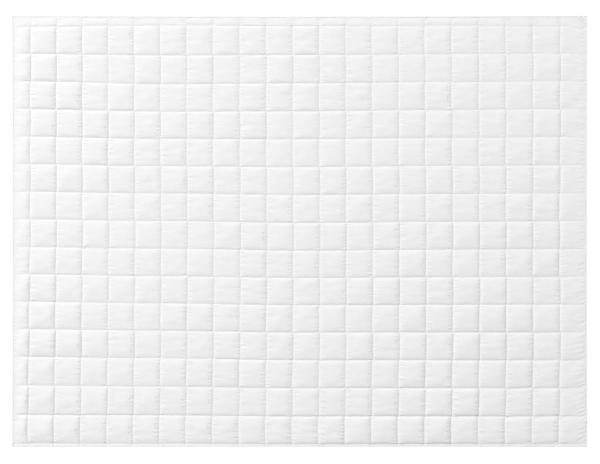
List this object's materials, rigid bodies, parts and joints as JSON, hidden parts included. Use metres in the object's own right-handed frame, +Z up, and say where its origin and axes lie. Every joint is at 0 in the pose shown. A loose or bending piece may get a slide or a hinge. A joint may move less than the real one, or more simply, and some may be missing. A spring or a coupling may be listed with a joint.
{
  "type": "duvet",
  "caption": "Rectangular white duvet quilted through in small squares, with a narrow bound edge, lying open and flat.",
  "frame": {"origin": "on the surface that the duvet lies on, under the middle of its outline", "axes": "+X along the long side, +Y along the short side towards the edge shown at the top, +Z up"},
  "size_m": [2, 1.5, 0.0145],
  "materials": {
    "panel_cloth": "plain white closely woven cloth, matt with a faint sheen",
    "binding_cloth": "the same white cloth, folded into a narrow strip"
  },
  "bodies": {
    "root": {"quilted_panel": "panel_cloth", "binding_top": "binding_cloth", "binding_right": "binding_cloth", "binding_bottom": "binding_cloth", "binding_left": "binding_cloth"}
  },
  "joints": []
}
